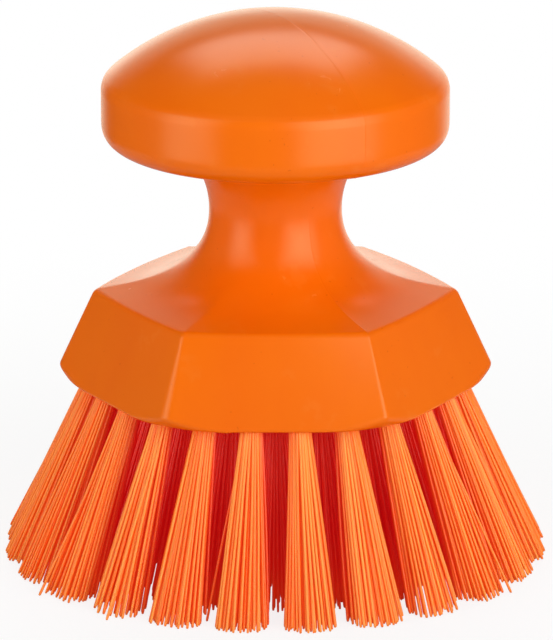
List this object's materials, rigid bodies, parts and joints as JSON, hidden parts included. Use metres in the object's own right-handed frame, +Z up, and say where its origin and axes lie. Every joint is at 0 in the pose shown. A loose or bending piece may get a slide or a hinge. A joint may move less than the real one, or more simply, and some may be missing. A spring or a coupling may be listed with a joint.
{
  "type": "hand scrub brush",
  "caption": "Palm-grip hand scrub brush: domed knob and waisted neck on a hexagonal block, set with leaning filament tufts.",
  "frame": {"origin": "on the brush's vertical axis, in the plane of the filament tips that it stands on", "axes": "+Z up along the handle, -Y out of the block's front facet, +X to the right seen from the front"},
  "size_m": [0.1106, 0.1106, 0.1113],
  "materials": {
    "handle_moulding": "orange moulded polypropylene, satin to gloss",
    "filament": "translucent orange polyester filament"
  },
  "bodies": {
    "root": {"handle_block": "handle_moulding", "tuft_inner_01": "filament", "tuft_inner_02": "filament", "tuft_inner_03": "filament", "tuft_inner_04": "filament", "tuft_inner_05": "filament", "tuft_outer_01": "filament", "tuft_outer_02": "filament", "tuft_outer_03": "filament", "tuft_outer_04": "filament", "tuft_outer_05": "filament", "tuft_outer_06": "filament", "tuft_outer_07": "filament", "tuft_outer_08": "filament", "tuft_outer_09": "filament", "tuft_outer_10": "filament", "tuft_outer_11": "filament", "tuft_outer_12": "filament", "tuft_outer_13": "filament", "tuft_outer_14": "filament", "tuft_outer_15": "filament", "tuft_outer_16": "filament", "tuft_outer_17": "filament", "tuft_outer_18": "filament", "tuft_outer_19": "filament", "tuft_outer_20": "filament", "tuft_outer_21": "filament", "tuft_outer_22": "filament", "tuft_outer_23": "filament", "tuft_outer_24": "filament", "tuft_second_01": "filament", "tuft_second_02": "filament", "tuft_second_03": "filament", "tuft_second_04": "filament", "tuft_second_05": "filament", "tuft_second_06": "filament", "tuft_second_07": "filament", "tuft_second_08": "filament", "tuft_second_09": "filament", "tuft_second_10": "filament", "tuft_second_11": "filament", "tuft_second_12": "filament", "tuft_second_13": "filament", "tuft_second_14": "filament", "tuft_second_15": "filament", "tuft_second_16": "filament", "tuft_second_17": "filament", "tuft_second_18": "filament", "tuft_third_01": "filament", "tuft_third_02": "filament", "tuft_third_03": "filament", "tuft_third_04": "filament", "tuft_third_05": "filament", "tuft_third_06": "filament", "tuft_third_07": "filament", "tuft_third_08": "filament", "tuft_third_09": "filament", "tuft_third_10": "filament", "tuft_third_11": "filament", "tuft_third_12": "filament"}
  },
  "joints": []
}
